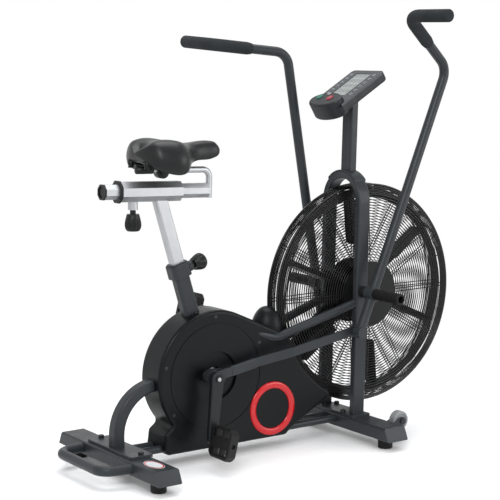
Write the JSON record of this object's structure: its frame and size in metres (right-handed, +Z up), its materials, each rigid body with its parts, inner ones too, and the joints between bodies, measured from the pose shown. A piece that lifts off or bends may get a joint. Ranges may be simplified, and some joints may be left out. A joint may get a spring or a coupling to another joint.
{
  "type": "air bike",
  "caption": "Upright fan-resistance exercise bike with a caged fan, swinging handlebars, sliding saddle, cranks with pedals, console, lift handle and transport wheels.",
  "frame": {"origin": "centre of the bounding box's footprint, on the floor under the feet", "axes": "+X forward, from the saddle to the fan; +Y to the rider's left; +Z up"},
  "size_m": [1.311, 0.68, 1.2658],
  "materials": {
    "frame_paint": "satin charcoal powder coat",
    "casing_plastic": "fine-grained black-grey moulding",
    "accent_red": "gloss red",
    "black_plastic": "matte black",
    "chrome_tube": "satin chrome",
    "saddle_vinyl": "black grained vinyl",
    "grip_foam": "black foam",
    "foot_rubber": "moulded black",
    "cage_wire": "gloss black",
    "fan_plastic": "dark moulded",
    "steel": "zinc plated",
    "dark_bolt": "black oxide",
    "belt_rubber": "ribbed belt",
    "wheel_grey": "light grey",
    "console_grey": "satin dark grey",
    "console_panel": "printed face",
    "lcd": "grey display",
    "button_green": "green",
    "button_red": "red",
    "button_grey": "light grey",
    "pedal_plastic": "moulded black"
  },
  "bodies": {
    "frame": {"rear_bar": "frame_paint", "front_bar": "frame_paint", "rear_mount_plate": "frame_paint", "front_mount_bracket": "frame_paint", "frame_bolts": "dark_bolt", "rubber_feet": "foot_rubber", "lift_handle": "frame_paint", "lower_rails": "frame_paint", "seat_tube": "frame_paint", "crank_bearings": "steel", "seat_collar": "black_plastic", "rear_arch_tube": "frame_paint", "upright_arch": "frame_paint", "brace_tubes": "frame_paint", "right_casing": "casing_plastic", "left_casing": "casing_plastic", "accent_ring": "accent_red", "belt_cover": "casing_plastic", "drive_belts": "belt_rubber", "fan_axle": "steel", "cage_rim": "cage_wire", "right_cage_guard": "cage_wire", "left_cage_guard": "cage_wire", "hub_covers": "fan_plastic", "foot_pegs": "foot_rubber", "console_mast": "frame_paint", "console_housing": "console_grey", "console_face": "console_panel", "lcd_screen": "lcd"},
    "crank": {"crank_axle": "steel", "crank_pulley": "black_plastic", "right_crank_web": "frame_paint", "left_crank_web": "frame_paint", "right_pedal_arm": "frame_paint", "left_pedal_arm": "frame_paint"},
    "right_pedal": {"right_pedal": "pedal_plastic"},
    "left_pedal": {"left_pedal": "pedal_plastic"},
    "right_link": {"right_link_rod": "frame_paint"},
    "left_link": {"left_link_rod": "frame_paint"},
    "jackshaft": {"jackshaft": "black_plastic"},
    "fan": {"fan_rotor": "fan_plastic", "fan_blades": "fan_plastic"},
    "right_handle": {"right_handlebar": "frame_paint", "right_grip": "grip_foam"},
    "left_handle": {"left_handlebar": "frame_paint", "left_grip": "grip_foam"},
    "height_knob": {"height_knob": "black_plastic"},
    "seat_post": {"seat_post": "chrome_tube", "slider_outer_tube": "chrome_tube", "slider_bush": "black_plastic"},
    "saddle_slider": {"saddle_carriage": "chrome_tube", "slider_end_cap": "black_plastic", "saddle_clamp": "black_plastic", "saddle": "saddle_vinyl"},
    "slider_knob": {"slider_knob": "black_plastic"},
    "start_button": {"start_button": "button_green"},
    "select_button": {"select_button": "button_grey"},
    "stop_button": {"stop_button": "button_red"},
    "right_wheel": {"right_transport_wheel": "wheel_grey"},
    "left_wheel": {"left_transport_wheel": "wheel_grey"}
  },
  "joints": [
    {"name": "crank_spin", "type": "hinge", "parent": "frame", "child": "crank", "pos_m": [-0.2325, 0, 0.245], "axis": [0, 1, 0], "continuous": true},
    {"name": "right_pedal_spin", "type": "hinge", "parent": "crank", "child": "right_pedal", "pos_m": [-0.28447, -0.165, 0.08314], "axis": [0, 1, 0], "continuous": true},
    {"name": "left_pedal_spin", "type": "hinge", "parent": "crank", "child": "left_pedal", "pos_m": [-0.18053, 0.165, 0.40686], "axis": [0, 1, 0], "continuous": true},
    {"name": "right_link_swing", "type": "hinge", "parent": "crank", "child": "right_link", "pos_m": [-0.26603, -0.085, 0.25061], "axis": [0, 1, 0], "continuous": true},
    {"name": "left_link_swing", "type": "hinge", "parent": "crank", "child": "left_link", "pos_m": [-0.19897, 0.085, 0.23939], "axis": [0, 1, 0], "continuous": true},
    {"name": "jackshaft_spin", "type": "hinge", "parent": "frame", "child": "jackshaft", "pos_m": [-0.0375, 0, 0.125], "axis": [0, 1, 0], "continuous": true},
    {"name": "fan_spin", "type": "hinge", "parent": "frame", "child": "fan", "pos_m": [0.3255, 0, 0.426], "axis": [0, 1, 0], "continuous": true},
    {"name": "right_handle_swing", "type": "hinge", "parent": "frame", "child": "right_handle", "pos_m": [0.2628, -0.134, 0.443], "axis": [0, 1, 0], "range_deg": [-33.2, 1]},
    {"name": "left_handle_swing", "type": "hinge", "parent": "frame", "child": "left_handle", "pos_m": [0.2628, 0.134, 0.443], "axis": [0, 1, 0], "range_deg": [-1, 33.2]},
    {"name": "seat_height", "type": "slide", "parent": "frame", "child": "seat_post", "axis": [-0.2874, 0, 0.9578], "range_m": [-0.12, 0.08]},
    {"name": "saddle_slide", "type": "slide", "parent": "seat_post", "child": "saddle_slider", "axis": [0.9994, 0, -0.0349], "range_m": [-0.083, 0.01]},
    {"name": "height_knob_pull", "type": "slide", "parent": "frame", "child": "height_knob", "axis": [0.9578, 0, 0.2874], "range_m": [0, 0.01], "stiffness_N_per_m": 600},
    {"name": "slider_knob_pull", "type": "slide", "parent": "seat_post", "child": "slider_knob", "axis": [0, 0, -1], "range_m": [0, 0.01], "stiffness_N_per_m": 600},
    {"name": "start_button_press", "type": "slide", "parent": "frame", "child": "start_button", "axis": [0.5135, 0, -0.8581], "range_m": [0, 0.0012], "stiffness_N_per_m": 800},
    {"name": "select_button_press", "type": "slide", "parent": "frame", "child": "select_button", "axis": [0.5135, 0, -0.8581], "range_m": [0, 0.0012], "stiffness_N_per_m": 800},
    {"name": "stop_button_press", "type": "slide", "parent": "frame", "child": "stop_button", "axis": [0.5135, 0, -0.8581], "range_m": [0, 0.0012], "stiffness_N_per_m": 800},
    {"name": "right_wheel_spin", "type": "hinge", "parent": "frame", "child": "right_wheel", "pos_m": [0.3205, -0.191, 0.068], "axis": [0, 1, 0], "continuous": true},
    {"name": "left_wheel_spin", "type": "hinge", "parent": "frame", "child": "left_wheel", "pos_m": [0.3205, 0.191, 0.068], "axis": [0, 1, 0], "continuous": true}
  ],
  "couplings": [
    {"joint": "right_link_swing", "follows": "crank_spin", "ratio": -1},
    {"joint": "left_link_swing", "follows": "crank_spin", "ratio": -1},
    {"joint": "jackshaft_spin", "follows": "crank_spin", "ratio": 5},
    {"joint": "fan_spin", "follows": "crank_spin", "ratio": 10},
    {"joint": "left_handle_swing", "follows": "right_handle_swing", "ratio": -1}
  ]
}
